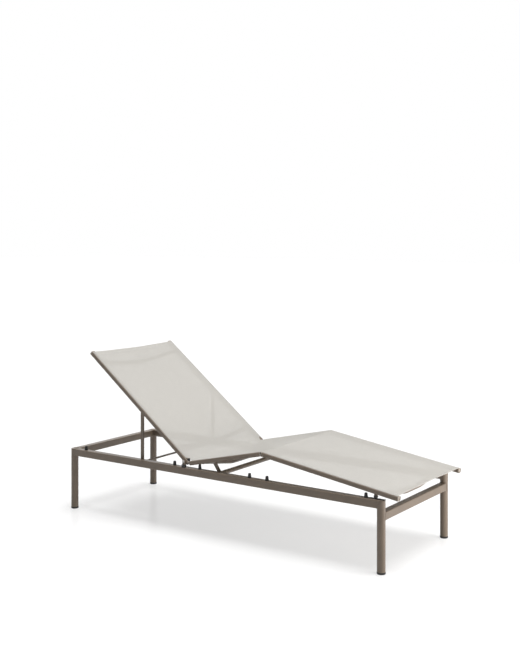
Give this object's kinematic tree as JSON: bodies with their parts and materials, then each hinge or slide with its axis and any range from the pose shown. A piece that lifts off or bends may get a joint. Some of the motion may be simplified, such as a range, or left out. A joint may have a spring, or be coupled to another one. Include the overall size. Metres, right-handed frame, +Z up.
{
  "type": "sun lounger",
  "caption": "Metal-framed sun lounger with a sling bed, a raised adjustable backrest and a bent-knee seat and leg section.",
  "frame": {"origin": "under the middle of the lounger's box, on the ground", "axes": "+X towards the foot end, +Y towards the left hand of somebody who lies on it, +Z up"},
  "size_m": [1.9526, 0.678, 0.8479],
  "materials": {
    "frame_paint": "satin powder coat, taupe",
    "sling_cloth": "woven mesh, pale grey",
    "black_plastic": "matte",
    "bumper_rubber": "matte",
    "cap_plastic": "matte, light taupe",
    "zinc_steel": "zinc plated"
  },
  "bodies": {
    "base": {"leg_head_left": "frame_paint", "leg_head_right": "frame_paint", "leg_foot_left": "frame_paint", "leg_foot_right": "frame_paint", "side_rail_left": "frame_paint", "side_rail_right": "frame_paint", "head_rail": "frame_paint", "foot_rail": "frame_paint", "leg_caps": "frame_paint", "leg_glides": "black_plastic", "rail_bumpers": "bumper_rubber", "pivot_post_left": "frame_paint", "pivot_post_right": "frame_paint", "pivot_post_pads": "black_plastic", "backrest_pivot_bolts": "zinc_steel", "pivot_knobs": "black_plastic", "seat_pivot_lugs": "frame_paint", "seat_pivot_bolts": "zinc_steel", "rod_bushes": "black_plastic", "wear_strips": "black_plastic"},
    "backrest": {"backrest_rail_left": "frame_paint", "backrest_rail_right": "frame_paint", "backrest_top_bar": "frame_paint", "backrest_low_bar": "frame_paint", "backrest_end_caps": "cap_plastic", "backrest_rack_left": "zinc_steel", "backrest_rack_right": "zinc_steel", "backrest_sling": "sling_cloth"},
    "seat": {"seat_rail_left": "frame_paint", "seat_rail_right": "frame_paint", "seat_cross_bar": "frame_paint", "seat_end_caps": "cap_plastic", "seat_rack_left": "zinc_steel", "seat_rack_right": "zinc_steel", "seat_sling": "sling_cloth", "knee_seat_leaves": "zinc_steel", "knee_pins": "zinc_steel"},
    "leg_section": {"leg_rest_rail_left": "frame_paint", "leg_rest_rail_right": "frame_paint", "leg_rest_cross_bar": "frame_paint", "leg_rest_end_caps": "cap_plastic", "leg_rest_sling": "sling_cloth", "knee_leg_leaves": "zinc_steel", "shoe_brackets": "frame_paint", "glide_shoes": "black_plastic"},
    "backrest_prop": {"backrest_prop_arm_left": "frame_paint", "backrest_prop_arm_right": "frame_paint", "backrest_prop_rod": "frame_paint", "backrest_prop_pins": "zinc_steel"},
    "seat_prop": {"seat_prop_arm_left": "frame_paint", "seat_prop_arm_right": "frame_paint", "seat_prop_tube": "frame_paint", "seat_prop_spigots": "zinc_steel", "seat_prop_pins": "zinc_steel"}
  },
  "joints": [
    {"name": "backrest_hinge", "type": "hinge", "parent": "base", "child": "backrest", "pos_m": [-0.19531, 0, 0.3488], "axis": [0, 1, 0], "range_deg": [-37.4, 0]},
    {"name": "seat_hinge", "type": "hinge", "parent": "base", "child": "seat", "pos_m": [-0.12031, 0, 0.3488], "axis": [0, 1, 0], "range_deg": [0, 13]},
    {"name": "knee_hinge", "type": "hinge", "parent": "seat", "child": "leg_section", "pos_m": [0.25775, 0, 0.43608], "axis": [0, 1, 0], "range_deg": [-21.18, 0]},
    {"name": "backrest_prop_hinge", "type": "hinge", "parent": "base", "child": "backrest_prop", "pos_m": [-0.49831, 0, 0.302], "axis": [0, 1, 0], "range_deg": [-80.32, 0]},
    {"name": "seat_prop_hinge", "type": "hinge", "parent": "base", "child": "seat_prop", "pos_m": [0.00202, 0, 0.309], "axis": [0, 1, 0], "range_deg": [-21.48, 0]}
  ],
  "couplings": [
    {"joint": "backrest_prop_hinge", "follows": "backrest_hinge", "ratio": 2.1477},
    {"joint": "seat_prop_hinge", "follows": "seat_hinge", "ratio": -1.6521},
    {"joint": "knee_hinge", "follows": "seat_hinge", "ratio": -1.629}
  ]
}
